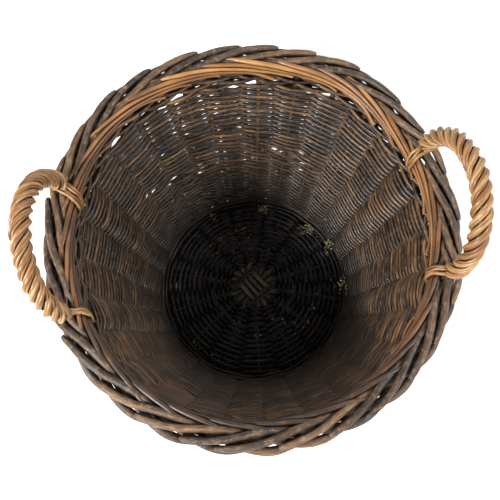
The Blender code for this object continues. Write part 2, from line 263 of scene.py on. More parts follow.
# the stout border rods: greyer bark with pale rubbed patches
borderBark = willow("unpeeled willow border bark", {
    "rodColours": ((0.0, "#2c2117"), (0.30, "#3a2b1e"), (0.60, "#4a3625"), (0.85, "#5a422d"), (1.0, "#694c31")),
    "wearColour": "#83684a", "wearAmount": 0.75, "tintSpread": 0.35, "crevice": 0.010,
    "streakWidth": 0.0010, "streakLength": 0.013, "streakDark": 0.22, "streakLight": 1.2,
    "mottleSize": 0.007, "grainWidth": 0.0006, "roughness": (0.36, 0.68), "bump": 1.0})
# the base: the same bark, near-black, partly its own dust and soot and partly painted shade of the deep floor; the
# palest tints are dry moss and crumbs of bark
sootyShadedBark = willow("sooty and shaded willow bark", {
    "rodColours": ((0.0, "#18171a"), (0.5, "#211f20"), (0.75, "#2c2826"), (0.90, "#554c41"), (0.96, "#93865f"),
                   (1.0, "#b3a37a")),
    "wearColour": "#3a352f", "wearAmount": 0.5,
    "streakWidth": 0.0012, "streakLength": 0.016, "streakDark": 1.1, "streakLight": 3.0,
    "mottleSize": 0.010, "grainWidth": 0.0006, "roughness": (0.42, 0.7), "bump": 0.4, "specular": 0.4})
# buff willow: boiled and peeled, orange-tan with a soft shine
buffWillow = willow("buff willow", {
    "rodColours": ((0.0, "#34281e"), (0.30, "#5e4029"), (0.60, "#906137"), (1.0, "#b5824a")),
    "wearColour": "#7a4f2c", "wearAmount": 0.45, "tintSpread": 0.2,
    "streakWidth": 0.0007, "streakLength": 0.030, "streakDark": 0.45, "streakLight": 0.85,
    "mottleSize": 0.014, "grainWidth": 0.0004, "roughness": (0.30, 0.5), "bump": 0.3})
# the handles: peeled willow twisted while soaked, golden and slightly glossy
goldenWillow = willow("golden peeled willow", {
    "rodColours": ((0.0, "#8f6238"), (0.4, "#a67846"), (0.75, "#b68956"), (1.0, "#c49a68")),
    "wearColour": "#76502f", "wearAmount": 0.6, "tintSpread": 0.25, "crevice": 0.006,
    "streakWidth": 0.0007, "streakLength": 0.020, "streakDark": 0.36, "streakLight": 0.82,
    "mottleSize": 0.010, "grainWidth": 0.0004, "roughness": (0.30, 0.48), "bump": 0.35})
cutDark = cutWillow("cut end of a barked rod", "#8f7c62", "#4d3c2c", "#3a3029")
cutPale = cutWillow("cut end of a peeled rod", "#d9b983", "#8a6038", "#b98a52")
print("materials made")


def buildRodTree():
    # one Geometry Nodes tree sweeps every willow rod along its line and closes it with cut ends
    tree = bpy.data.node_groups.new("willow rods", "GeometryNodeTree")
    face = tree.interface
    for title, kind in (("Geometry", "Geometry"), ("Sides", "Int"), ("Knobbliness", "Float"),
                        ("Knob Spacing", "Float"), ("Skin", "Material"), ("Cut End", "Material")):
        face.new_socket(title, in_out="INPUT", socket_type="NodeSocket" + kind)
    face.new_socket("Geometry", in_out="OUTPUT", socket_type="NodeSocketGeometry")
    given = addNode(tree, "NodeGroupInput").node.outputs
    line = addNode(tree, "GeometryNodeMeshToCurve", {"Mesh": given["Geometry"]})
    circle = addNode(tree, "GeometryNodeCurvePrimitiveCircle", {
        "Resolution": given["Sides"], "Radius": 1.0})
    spot = addNode(tree, "GeometryNodeInputPosition")
    profile = addNode(tree, "GeometryNodeStoreNamedAttribute", {"Geometry": circle, "Name": "ring", "Value": spot},
                      data_type="FLOAT_VECTOR", domain="POINT")
    # not "radius": a curve keeps that name for itself and drops it when swept
    radius, along, ring = (addNode(tree, "GeometryNodeInputNamedAttribute", {"Name": title}, data_type=kind)
                           for title, kind in (("rodRadius", "FLOAT"), ("along", "FLOAT"),
                                               ("ring", "FLOAT_VECTOR")))
    swept = addNode(tree, "GeometryNodeCurveToMesh", {
        "Curve": line, "Profile Curve": profile, "Scale": radius, "Fill Caps": True})
    around = addNode(tree, "ShaderNodeVectorMath", {0: ring, "Scale": radius}, operation="SCALE")
    onward = addNode(tree, "ShaderNodeCombineXYZ", {"Z": along})
    rodPlace = addNode(tree, "ShaderNodeVectorMath", {0: around, 1: onward}, operation="ADD")
    marked = addNode(tree, "GeometryNodeStoreNamedAttribute", {
        "Geometry": swept, "Name": "rodPlace", "Value": rodPlace}, data_type="FLOAT_VECTOR", domain="POINT")
    # bark is knobbly: a noise that follows the rod pushes its surface in and out
    perMetre = addNode(tree, "ShaderNodeMath", {0: 1.0, 1: given["Knob Spacing"]}, operation="DIVIDE")
    where = addNode(tree, "ShaderNodeVectorMath", {0: rodPlace, "Scale": perMetre}, operation="SCALE")
    lumps = addNode(tree, "ShaderNodeTexNoise", {"Vector": where, "Scale": 1.0, "Detail": 2.0}, out="Fac")
    centred = addNode(tree, "ShaderNodeMath", {0: lumps, 1: 0.5}, operation="SUBTRACT")
    height = addNode(tree, "ShaderNodeMath", {0: centred, 1: given["Knobbliness"]}, operation="MULTIPLY")
    normal = addNode(tree, "GeometryNodeInputNormal")
    offset = addNode(tree, "ShaderNodeVectorMath", {0: normal, "Scale": height}, operation="SCALE")
    lumpy = addNode(tree, "GeometryNodeSetPosition", {"Geometry": marked, "Offset": offset})
    # only the caps have more than four corners
    corners = addNode(tree, "GeometryNodeInputMeshFaceNeighbors", out="Vertex Count")
    isCut = addNode(tree, "FunctionNodeCompare", {2: corners, 3: 4}, data_type="INT",
                    operation="GREATER_THAN")
    smooth = addNode(tree, "GeometryNodeSetShadeSmooth", {"Geometry": lumpy, "Shade Smooth": True})
    flat = addNode(tree, "GeometryNodeSetShadeSmooth", {
        "Geometry": smooth, "Selection": isCut, "Shade Smooth": False})
    real = addNode(tree, "GeometryNodeRealizeInstances", {"Geometry": flat})
    skin = addNode(tree, "GeometryNodeSetMaterial", {"Geometry": real, "Material": given["Skin"]})
    ends = addNode(tree, "GeometryNodeSetMaterial", {
        "Geometry": skin, "Selection": isCut, "Material": given["Cut End"]})
    addNode(tree, "NodeGroupOutput", {"Geometry": ends})
    return tree


rodTree = buildRodTree()
rodInputs = {item.name: item.identifier for item in rodTree.interface.items_tree if item.in_out == "INPUT"}
patternStart = {"perTint": 7.3, "perPoint": 0.37}  # every rod reads its own stretch of the pattern
buds = {"spacing": 0.13, "swell": 0.2}


def makeRods(name, rods, look, nodes):
    # each rod is (points, radii, tint); its line becomes a chain of edges that the tree sweeps
    points, edges, radii, along, tints = [], [], [], [], []
    for line, thickness, tint in rods:
        first = len(points)
        travelled = tint * patternStart["perTint"] + first * patternStart["perPoint"]
        for index, point in enumerate(line):
            if index:
                travelled += (point - line[index - 1]).length
                edges.append((first + index - 1, first + index))
            points.append(point)
            along.append(travelled)
            radii.append(thickness[index])
            tints.append(tint)
    mesh = bpy.data.meshes.new(name)
    mesh.from_pydata(points, edges, [])
    for title, values in (("rodRadius", radii), ("along", along), ("rodTint", tints)):
        mesh.attributes.new(title, "FLOAT", "POINT").data.foreach_set("value", values)
    made = bpy.data.objects.new(name, mesh)
    bpy.context.scene.collection.objects.link(made)
    sweep = made.modifiers.new("willow rods", "NODES")
    sweep.node_group = rodTree
    for title, key in (("Sides", "sides"), ("Knobbliness", "knobbliness"), ("Knob Spacing", "knobSpacing"),
                       ("Skin", "skin"), ("Cut End", "cutEnd")):
        sweep[rodInputs[title]] = look[key]
    bpy.context.view_layer.update()
    evaluated = made.evaluated_get(bpy.context.evaluated_depsgraph_get())
    baked = bpy.data.meshes.new_from_object(evaluated)
    made.modifiers.remove(sweep)
    made.data = baked
    baked.name = name
    bpy.data.meshes.remove(mesh)
    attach(made, "root")
    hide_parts(*nodes)
    print(f"{name}: {len(rods)} rods, {sum(len(p.vertices) - 2 for p in baked.polygons)} triangles")


def widths(points, butt, tip, rng):
    # a rod tapers from butt to tip, with a slight swelling where each bud sat
    total = len(points)
    phase = rng.uniform(0, 9)
    radii = []
    for index in range(total):
        share = index / max(total - 1, 1)
        swell = max(0.0, wander(phase + index * buds["spacing"], phase)) ** 2 * buds["swell"]
        radii.append((butt + (tip - butt) * share) * (1 + swell))
    return radii


# base: seven crossed sticks, four over three, opened out to fourteen spokes
baseSticks = {
    "radius": 0.0044, "tipShare": 0.94, "centreHalf": 0.026, "spacing": 0.0100, "heading": 18.5,
    "opensOver": 0.022, "layerGap": 0.0002, "armSteps": 14, "tint": (0.86, 0.91), "sides": 12,
    "knobbliness": 0.0006, "knobSpacing": 0.02, "skin": sootyShadedBark, "cutEnd": cutDark, "slot": "base_stick"
}


def makeBaseSticks():
    rng = random.Random(3)
    quarter, spokeTurns = stakeCount / 4, stakeCount / spokeCount
    stickRadius, centreHalf = baseSticks["radius"], baseSticks["centreHalf"]
    for word, count, heading, layer in (("upper", 4, baseSticks["heading"], 1),
                                        ("lower", 3, baseSticks["heading"] + quarter, -1)):
        run, side = place(1.0, heading, 0.0), place(1.0, heading + quarter, 0.0)
        for index in range(count):
            offset = index - (count - 1) / 2
            arms = []
            for sign, flip in ((1, 0), (-1, stakeCount / 2)):
                arm = []
                for step in range(baseSticks["armSteps"] + 1):
                    radius = centreHalf + (basket["spokeReach"] - centreHalf) * step / baseSticks["armSteps"]
                    spoke = place(radius, heading + flip + spokeTurns * offset * sign, spokeHeight(radius))
                    straight = run * (radius * sign) + side * (offset * baseSticks["spacing"])
                    straight.z = spokeHeight(radius) + layer * (stickRadius + baseSticks["layerGap"])
                    share = min(1.0, (radius - centreHalf) / baseSticks["opensOver"])
                    arm.append(straight.lerp(spoke, share * share * (3 - 2 * share)))
                arms.append(arm)
            line = list(reversed(arms[1])) + arms[0]
            rods = [(line, widths(line, stickRadius, stickRadius * baseSticks["tipShare"], rng),
                     rng.uniform(*baseSticks["tint"]))]
            makeRods(f"base_stick_rod_{word}_{index + 1}", rods, baseSticks, [f"base_stick_{word}_{index + 1}"])


makeBaseSticks()

# base weave: rods wound over and under the spokes, squarer where they also cross the stakes' feet
baseWeave = {
    "pitch": 0.0044, "radius": 0.0022, "girth": (0.9, 1.12), "taper": (1.1, 0.9),
    "edges": (0.0395, 0.073, 0.096, 0.1185, 0.1560), "lastRoom": 0.001, "layerGap": 0.0002, "samples": 10,
    "squareness": 1.2, "overFeet": 1.6, "feetFrom": 0.119, "sway": 0.0009, "bob": 0.0006,
    "palest": 0.8, "palestRare": 1.5, "sides": 8, "knobbliness": 0.0004, "knobSpacing": 0.015,
    "skin": sootyShadedBark, "cutEnd": cutDark, "slot": "base_weave"
}
# two rods bind the crossed sticks on each side: how far from the centre, and how each turns down at its ends
bindings = {
    "places": (0.0215, 0.0258), "half": 0.0235, "flatHalf": 0.0185, "turnsOver": 0.005, "drop": 0.012,
    "levelAt": 0.02, "lift": 0.0022, "radius": 0.0021, "tint": 0.7, "steps": 24
}
# dry moss and bark crumbs on the base: which ring of weave, radius, turns, height, spread, how many
litter = ((3, 0.1500, 22.4, 0.0215, 0.010, 60), (3, 0.1490, 25.2, 0.0215, 0.012, 90),
          (3, 0.1580, 26.6, 0.0330, 0.012, 30), (3, 0.1600, 0.9, 0.0400, 0.014, 40),
          (3, 0.1500, 19.5, 0.0215, 0.010, 12), (2, 0.1050, 20.0, 0.0270, 0.060, 26),
          (1, 0.0850, 7.0, 0.0290, 0.060, 18), (2, 0.1100, 3.0, 0.0260, 0.050, 22),
          (3, 0.1400, 10.0, 0.0220, 0.060, 14))
crumb = {
    "length": (0.0010, 0.0045), "girth": (0.0004, 0.0011), "ends": (0.6, 0.5), "tilt": 0.3, "lift": 0.002,
    "furthest": 1.04, "tint": (0.93, 1.0)
}


def crumbs(ring, rng):
    bits = []
    for where, radius, turns, height, spread, count in litter:
        if where == ring:
            for _ in range(count):
                spot = place(radius, turns, height) + Vector((rng.gauss(0, spread), rng.gauss(0, spread), 0)) / 2
                spot *= min(1.0, radius * crumb["furthest"] / spot.xy.length)
                spot.z = height + rng.uniform(0.0, crumb["lift"])
                heading, length = rng.uniform(0, math.tau), rng.uniform(*crumb["length"])
                along = Vector((math.cos(heading), math.sin(heading), rng.uniform(-crumb["tilt"], crumb["tilt"])))
                along *= length
                girth = rng.uniform(*crumb["girth"])
                bits.append(([spot, spot + along * 0.5 + Vector((0, 0, girth)), spot + along],
                             [girth * crumb["ends"][0], girth, girth * crumb["ends"][1]],
                             rng.uniform(*crumb["tint"])))
    return bits


def bindingRods():
    rods = []
    heading = baseSticks["heading"]
    run, side = place(1.0, heading, 0.0), place(1.0, heading + stakeCount / 4, 0.0)
    level = spokeHeight(bindings["levelAt"]) + 2 * baseSticks["radius"] + bindings["lift"]
    for sign in (-1, 1):
        for shift in bindings["places"]:
            line = []
            for step in range(bindings["steps"] + 1):
                across = -bindings["half"] + 2 * bindings["half"] * step / bindings["steps"]
                point = run * (shift * sign) + side * across
                edge = max(0.0, abs(across) - bindings["flatHalf"]) / bindings["turnsOver"]
                point.z = level - bindings["drop"] * edge ** 2
                line.append(point)
            rods.append((line, [bindings["radius"]] * len(line), bindings["tint"]))
    return rods


def makeBaseWeave():
    rng = random.Random(11)
    row = 0
    edges = baseWeave["edges"]
    steps = spokeCount * baseWeave["samples"]
    for ring in range(len(edges) - 1):
        rods = []
        radius = edges[ring] + baseWeave["pitch"] / 2
        while radius < edges[ring + 1] - baseWeave["lastRoom"]:
            line = []
            start = rng.uniform(0, stakeCount)
            girth = baseWeave["radius"] * rng.uniform(*baseWeave["girth"])
            squared = baseWeave["squareness"] + baseWeave["overFeet"] * (radius > baseWeave["feetFrom"])
            for step in range(steps + 1):
                turns = start + step / steps * stakeCount
                beat = math.cos(math.pi * (turns + 0.5) / 2 + math.pi * row)
                swing = math.tanh(squared * beat) / math.tanh(squared)
                grown = radius + baseWeave["sway"] * wander(turns * 0.35, row * 0.4)
                lift = swing * (baseSticks["radius"] + girth + baseWeave["layerGap"])
                lift += baseWeave["bob"] * wander(turns * 0.2, row * 0.2, 3)
                line.append(place(grown, turns, spokeHeight(radius) + lift))
            butt, tip = (girth * share for share in baseWeave["taper"])
            rods.append((line, widths(line, butt, tip, rng),
                         baseWeave["palest"] * rng.random() ** baseWeave["palestRare"]))
            radius += baseWeave["pitch"]
            row += 1
        if ring == 0:
            rods += bindingRods()
        rods += crumbs(ring, rng)
        makeRods(f"base_weave_rods_{ring + 1}", rods, baseWeave, [f"base_weave_{ring + 1}"])


makeBaseWeave()

# foot wale: three stout rods twisted round the foot, and rods laid in the corner between base and wall
footWale = {
    "rodCount": 3, "radius": 0.0030, "orbit": 0.0034, "orbitOut": 0.95, "orbitUp": 0.83, "twists": 14,
    "samples": 12, "tint": (0.2, 0.8), "sides": 10, "knobbliness": 0.0005, "knobSpacing": 0.02,
    "skin": darkBark, "cutEnd": cutDark, "slot": "foot_wale"
}
corner = {
    "rods": ((0.1568, 0.0072), (0.1585, 0.0125), (0.1590, 0.0195), (0.1635, 0.0160), (0.1640, 0.0235),
             (0.1660, 0.0275), (0.1690, 0.0150), (0.1762, 0.0268)),  # ring radius, height
    "radius": 0.0029, "sway": 0.0008, "swayTurns": 2, "swayShift": 4000, "tint": (0.0, 0.3)
}


def makeFootWale():
    rng = random.Random(21)
    steps = stakeCount * footWale["samples"]
    for word in ("lower", "upper"):
        low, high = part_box(f"foot_wale_{word}")
        middle = (low.z + high.z) / 2
        ringRadius = (high.x - low.x) / 2 - (high.z - low.z) / 2
        rods = []
        for rodNumber in range(footWale["rodCount"]):
            line = []
            for step in range(steps + 1):
                turns = step / steps * stakeCount
                wind = math.tau * (footWale["twists"] * turns / stakeCount + rodNumber / footWale["rodCount"])
                reach = ringRadius + footWale["orbit"] * math.cos(wind) * footWale["orbitOut"]
                rise = footWale["orbit"] * math.sin(wind) * footWale["orbitUp"]
                line.append(place(reach, turns, middle + rise))
            rods.append((line, [footWale["radius"]] * len(line), rng.uniform(*footWale["tint"])))
        if word == "upper":
            for ringRadius, level in corner["rods"]:
                line = []
                for step in range(steps + 1):
                    turns = step / steps * stakeCount
                    wave = math.tau * turns / corner["swayTurns"] + ringRadius * corner["swayShift"]
                    sway = corner["sway"] * math.sin(wave)
                    line.append(place(ringRadius + sway, turns, level - sway))
                rods.append((line, [corner["radius"]] * len(line), rng.uniform(*corner["tint"])))
        makeRods(f"foot_wale_rods_{word}", rods, footWale, [f"foot_wale_{word}"])


makeFootWale()

# stakes: one rod each, from beside its base stick, up the wall and through the border
stakes = {
    "radius": 0.0040, "girth": (0.93, 1.03), "knobs": 0.05,
    "footRadii": (0.119, 0.133, 0.147), "besideStick": 0.0085,  # the foot lies beside its base stick
    "bearsOff": (0.160, 0.09), "bendsUp": (0.1665, 0.0182),  # radius and turns; radius and height
    "wallSteps": 21, "wallStop": 0.006, "wallSway": 0.0004, "sides": 14, "knobbliness": 0.0009,
    "knobSpacing": 0.016, "skin": borderBark, "cutEnd": cutDark, "slot": "stake"
}
# the border: turns travelled, outward and upward from the top of the wall
borderRoute = ((0.0, 0.0, 0.0030), (0.56, 0.0080, 0.0020), (0.97, 0.0130, 0.0036), (1.37, 0.0166, 0.0088),
               (1.80, 0.0140, 0.0124), (2.54, 0.0021, 0.0143), (2.88, -0.0030, 0.0161), (3.26, -0.0052, 0.0193),
               (3.80, -0.0034, 0.0236), (4.40, 0.0048, 0.0244), (5.00, 0.0116, 0.0236), (5.60, 0.0160, 0.0196))
border = {
    "radius": 0.0052, "steps": 74, "trim": 0.35, "bend": 0.5, "bendDrop": 0.0065, "bendPace": 0.75,
    "looseFrom": 1.5, "sway": 0.0011, "bob": 0.0007,
    "thickens": (24, 8), "thins": (60, 40), "thinning": 0.22,  # from which point on, over how many
    "trimmedEnd": (0.92, 0.62),  # cut at a slant, so it looks thinner
}
# a border rod leaves room for a handle leg that it passes: inside it early on, outside it later
legRoom = {"near": 0.7, "after": 1.3, "crosses": 3.3, "inward": -0.004, "outward": 0.005}


def legBow(turns, travelled):
    moved = 0.0
    for leg in basket["legs"]:
        gap = abs(turnsApart(turns, leg))
        if gap < legRoom["near"] and travelled > legRoom["after"]:
            most = legRoom["inward"] if travelled < legRoom["crosses"] else legRoom["outward"]
            moved += most * math.cos(math.pi * gap / (2 * legRoom["near"])) ** 2
    return moved


def stakeFoot(stake):
    side = -1 if stake % 2 == 0 else 1
    spoke = stake + side * 0.5
    points = []
    for radius in stakes["footRadii"]:
        points.append(place(radius, spoke - side * stakes["besideStick"] / radius * stakeCount / math.tau,
                            spokeHeight(radius)))
    points.append(place(stakes["bearsOff"][0], stake + side * stakes["bearsOff"][1], basket["spokeHeight"]))
    points.append(place(stakes["bendsUp"][0], stake, stakes["bendsUp"][1]))
    return points


def makeStakes():
    rng = random.Random(40)
    for stake in range(stakeCount):
        line = stakeFoot(stake)
        for step in range(1, stakes["wallSteps"] + 1):
            climb = (basket["wallTop"] - stakes["wallStop"] - basket["weaveFoot"]) * step / stakes["wallSteps"]
            height = basket["weaveFoot"] + climb
            line.append(place(wallRadius(height) + stakes["wallSway"] * wander(height * 20, stake), stake, height))
        ends = borderRoute[-1][0] - rng.uniform(0.0, border["trim"])
        drift = rng.uniform(0, 50)
        for step in range(border["steps"] + 1):
            travelled = ends * step / border["steps"]
            out, up = smoothThrough(borderRoute, travelled)
            ease = min(1.0, travelled / border["bend"])  # the bend out of the wall is round
            up -= border["bendDrop"] * (1 - ease) ** 2
            loose = min(1.0, travelled / border["looseFrom"])
            out += border["sway"] * loose * wander(drift + travelled * 0.9, 1.0)
            up += border["bob"] * loose * wander(drift + travelled * 0.9, 9.0)
            turns = stake + travelled * (border["bendPace"] + (1 - border["bendPace"]) * ease)
            out += legBow(turns, travelled)
            line.append(placeAtRim(out, turns, up))
        girth = rng.uniform(*stakes["girth"])
        radii = []
        for index in range(len(line)):
            grown, shrunk = (min(1.0, max(0.0, (index - start) / over))
                             for start, over in (border["thickens"], border["thins"]))
            base = stakes["radius"] + (border["radius"] - stakes["radius"]) * grown
            base *= 1 - border["thinning"] * shrunk
            radii.append(base * girth * (1 + stakes["knobs"] * wander(index * 0.21, drift)))
        radii[-2:] = [radii[-2] * border["trimmedEnd"][0], radii[-1] * border["trimmedEnd"][1]]
        makeRods(f"stake_rod_{stake + 1:02d}", [(line, radii, rng.random())], stakes, [f"stake_{stake + 1:02d}"])


makeStakes()

# side weave: rows of single rods, in front of one stake and behind the next
weave = {
    "bands": 11, "rows": 62, "headroom": 0.0008, "butt": 0.0028, "tip": 0.0024, "girth": (0.94, 1.07),
    "knobs": 0.07, "samples": 8, "lengths": (0.42, 0.58), "startsBefore": 0.45, "endsAfter": 0.40,
    "poke": 0.0016, "pokeOver": 0.8,  # loose ends that stand off the wall
    "swing": 0.50, "swingAtLeg": 1.08, "square": 0.7, "squareAtLeg": 1.4, "legShift": 0.085,
    "waviness": 0.00176, "bob": 0.0007, "slant": 0.0025, "slantSpread": 0.9,
    "rimFrom": 0.17, "rimOver": 0.07, "rimGirth": 0.10, "rimPacking": 0.85,
    "tint": (0.08, 0.74, 1.2), "gapFade": 0.012, "sides": 7, "knobbliness": 0.0004, "knobSpacing": 0.012,
    "skin": darkBark, "cutEnd": cutPale, "slot": "side_weave"
}
# places where rows have drawn apart and daylight shows: turns, height, half the gap, reach in turns
looseSpots = [
    (21.2, 0.312, 0.0026, 0.22), (23.75, 0.319, 0.0016, 0.14), (24.4, 0.321, 0.0034, 0.20),
    (24.65, 0.317, 0.0020, 0.16), (25.15, 0.323, 0.0026, 0.16), (26.25, 0.323, 0.0030, 0.16),
    (27.35, 0.324, 0.0034, 0.14), (20.1, 0.319, 0.0016, 0.2), (17.5, 0.183, 0.0030, 0.18),
    (18.0, 0.178, 0.0038, 0.34), (18.55, 0.1645, 0.0040, 0.22), (19.05, 0.158, 0.0042, 0.36),
    (19.0, 0.139, 0.0030, 0.32), (19.6, 0.140, 0.0028, 0.18), (20.05, 0.154, 0.0034, 0.32),
    (21.45, 0.138, 0.0022, 0.16), (22.65, 0.176, 0.0044, 0.20), (23.15, 0.174, 0.0050, 0.32),
    (23.65, 0.180, 0.0042, 0.20), (23.4, 0.156, 0.0046, 0.24), (24.05, 0.156, 0.0036, 0.32),
    (23.63, 0.138, 0.0026, 0.16)]
pinholes = {
    "seed": 64, "count": 70, "turns": (16.0, 21.8), "heights": (0.12, 0.28), "halfGap": (0.0008, 0.0015),
    "reach": 0.12
}
scatter = random.Random(pinholes["seed"])
for _ in range(pinholes["count"]):
    looseSpots.append((scatter.uniform(*pinholes["turns"]), scatter.uniform(*pinholes["heights"]),
                       scatter.uniform(*pinholes["halfGap"]), pinholes["reach"]))


def parted(turns, height):
    moved = 0.0
    for spot, level, opening, reach in looseSpots:
        gap = turnsApart(turns, spot)
        if abs(gap) < 3 * reach:
            away = height - level
            shift = math.copysign(opening, away) * math.exp(-abs(away) / weave["gapFade"])
            moved += shift * math.exp(-(gap / reach) ** 2)
    return moved


def weaveSwing(turns, row):
    # -1 inside to 1 outside; rods turn more squarely and wider where a handle leg stands beside a stake
    atLeg = 0.0
    for leg in basket["legs"]:
        gap = abs(turnsApart(turns, leg + weave["legShift"]))
        if gap < 1.0:
            atLeg += math.cos(math.pi * gap / 2) ** 2
    square = weave["square"] + weave["squareAtLeg"] * atLeg
    reach = weave["swing"] + (weave["swingAtLeg"] - weave["swing"]) * atLeg
    return reach * math.tanh(square * math.cos(math.pi * (turns + row))) / math.tanh(square)


def makeSideWeave():
    rng = random.Random(77)
    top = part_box("side_weave_11")[1].z + weave["headroom"]
    pitch = (top - basket["weaveFoot"]) / weave["rows"]
    bands = [[] for _ in range(weave["bands"])]
    palest, tintRange, tintRare = weave["tint"]
    for row in range(weave["rows"]):
        level = basket["weaveFoot"] + (row + 0.5) * pitch
        starts = [rng.uniform(0, stakeCount)]
        starts.append(starts[0] + stakeCount * rng.uniform(*weave["lengths"]))
        for piece, start in enumerate(starts):
            end = starts[1] if piece == 0 else starts[0] + stakeCount
            start, end = round(start) - weave["startsBefore"], round(end) + weave["endsAfter"]
            steps = round((end - start) * weave["samples"])
            line = []
            poke = rng.choice((-1, -1, 1)) * weave["poke"]
            rimward = min(1.0, max(0.0, (level - weave["rimFrom"]) / weave["rimOver"]))
            girth = rng.uniform(*weave["girth"]) * (1 + weave["rimGirth"] * rimward)
            radii = []
            for step in range(steps + 1):
                share = step / steps
                turns = start + (end - start) * share
                radius = (weave["butt"] + (weave["tip"] - weave["butt"]) * share) * girth
                swing = weaveSwing(turns, row) * (stakes["radius"] + radius)
                nearEnd = max(0.0, 1 - min(turns - start, end - turns) / weave["pokeOver"])
                swing += poke * nearEnd ** 2 * (1 if share < 0.5 else -1)
                height = level + weave["waviness"] * wander(turns * 0.16, level * 16)
                height += weave["bob"] * wander(turns * 0.9, row * 1.7, 4)
                # a rod drops as it passes inside a stake, so rows close up and open in turn between stakes
                slack = weave["slant"] * (1 + weave["slantSpread"] * wander(turns * 0.31, level * 14, 8))
                slack *= 1 - weave["rimPacking"] * rimward  # packed tighter near the rim
                height += slack * math.sin(math.pi * (turns + row))
                height += parted(turns, level)
                line.append(place(wallRadius(height) + swing, turns, height))
                radii.append(radius * (1 + weave["knobs"] * wander(turns * 1.3, row * 3.1)))
            climbed = (level - basket["weaveFoot"]) / (top - basket["weaveFoot"]) * weave["bands"]
            band = min(weave["bands"] - 1, int(climbed))
            bands[band].append((line, radii, palest + tintRange * rng.random() ** tintRare))
    for band, rods in enumerate(bands):
        makeRods(f"side_weave_rods_{band + 1:02d}", rods, weave, [f"side_weave_{band + 1:02d}"])


makeSideWeave()

# top wale: heavier rods in threes, in front of two stakes and behind one
topWale = {
    "rounds": 4, "rodsAtOnce": 3, "rise": 0.0040, "radius": 0.0028, "taper": (1.05, 0.92), "stack": 0.95,
    "roundShift": 0.5, "bob": 0.0008, "tint": (0.1, 0.75), "samples": 9, "sides": 9, "knobbliness": 0.0005,
    "knobSpacing": 0.014, "skin": darkBark, "cutEnd": cutPale, "slot": "top_wale"
}
waleSteps = ((0, 0.0), (0.5, -0.5), (1.0, -0.5), (2.0, 0.5), (2.5, 0.5), (3.0, 0.0))  # phase, share of a rod up


def waleSwing(phase):
    phase %= 3
    if phase < 1:
        return -math.cos(math.pi * phase)
    return 1.0 if phase < 2 else math.cos(math.pi * (phase - 2))


def makeTopWale():
    rng = random.Random(5)
    pitch = (waleHigh.z - waleLow.z + topWale["rise"]) / topWale["rounds"]
    rods = []
    for turnOver in range(topWale["rounds"]):
        level = waleLow.z + (turnOver + 0.5) * pitch
        for number in range(topWale["rodsAtOnce"]):
            start = rng.uniform(0, stakeCount)
            line = []
            for step in range(stakeCount * topWale["samples"] + 1):
                turns = start + step / topWale["samples"]
                # 28 stakes aren't a whole number of threes, so the phase slips by one on the way round
                phase = turns * (stakeCount - 1) / stakeCount + number + turnOver * topWale["roundShift"]
                height = level + smoothThrough(waleSteps, phase % 3)[0] * 2 * topWale["radius"] * topWale["stack"]
                height += topWale["bob"] * wander(turns * 0.3, turnOver)
                swing = waleSwing(phase) * (stakes["radius"] + topWale["radius"])
                line.append(place(wallRadius(height) + swing, turns, height))
            butt, tip = (topWale["radius"] * share for share in topWale["taper"])
            rods.append((line, widths(line, butt, tip, rng), rng.uniform(*topWale["tint"])))
    makeRods("top_wale_rods", rods, topWale, ["top_wale"])


makeTopWale()

# buff rods that lie along the inside of the rim, each ending in a cut end inside
innerTrac = {
    "butt": 0.0031, "tip": 0.0025, "girth": (0.82, 1.08), "endSpread": (-0.5, 0.15), "steps": 54,
    # where the rods are painted palest, and how much painted shade darkens those opposite
    "sway": 0.0007, "bob": 0.0011, "litMostAt": 21.5, "paintedShadeSpread": 0.50, "tint": (0.55, 0.6),
    "sides": 10, "knobbliness": 0.0005, "knobSpacing": 0.018,
    "skin": buffWillow, "cutEnd": cutPale, "slot": "inner_trac"
}
tracRoute = ((-0.9, 0.0010, 0.0200), (-0.3, -0.0085, 0.0240), (0.4, -0.0125, 0.0232), (1.2, -0.0140, 0.0185),
             (2.0, -0.0146, 0.0135), (2.9, -0.0152, 0.0085), (3.4, -0.0200, 0.0045))


def makeInnerTrac():
    rng = random.Random(8)
    rods = []
    begins = tracRoute[0][0]
    for number in range(stakeCount):
        ends = tracRoute[-1][0] + rng.uniform(*innerTrac["endSpread"])
        drift = rng.uniform(0, 60)
        line = []
        for step in range(innerTrac["steps"] + 1):
            travelled = begins + (ends - begins) * step / innerTrac["steps"]
            out, up = smoothThrough(tracRoute, travelled)
            out += innerTrac["sway"] * wander(drift + travelled * 0.6, 2.0)
            up += innerTrac["bob"] * wander(drift + travelled * 0.6, 7.0)
            line.append(placeAtRim(out, number + travelled, up))
        girth = rng.uniform(*innerTrac["girth"])
        # painted shade: browner, darker tints at the front, palest at the back
        around = math.cos((number - innerTrac["litMostAt"]) * math.tau / stakeCount)
        shade = 1 - innerTrac["paintedShadeSpread"] + innerTrac["paintedShadeSpread"] * around
        rods.append((line, widths(line, innerTrac["butt"] * girth, innerTrac["tip"] * girth, rng),
                     min(1.0, shade * (innerTrac["tint"][0] + innerTrac["tint"][1] * rng.random()))))
    half = stakeCount // 2
    makeRods("inner_trac_rods_a", rods[:half], innerTrac, ["inner_trac_a"])
    makeRods("inner_trac_rods_b", rods[half:], innerTrac, ["inner_trac_b"])


makeInnerTrac()

# handles: a stout bow on each side, with pointed legs pushed down into the wall
handle = {
    "rise": 0.088, "lean": math.radians(12), "belly": 0.24, "roundness": 1.1, "turnsWide": 3,
    "ropeGap": 0.0020, "archSteps": 60, "legDepth": 0.095, "legSteps": 13, "legPoint": 0.5, "legTaper": 0.4,
    "bowRadius": 0.0045, "sides": 12, "knobbliness": 0.0005, "knobSpacing": 0.02,
    "skin": goldenWillow, "cutEnd": cutPale, "slot": "handle_bow"
}


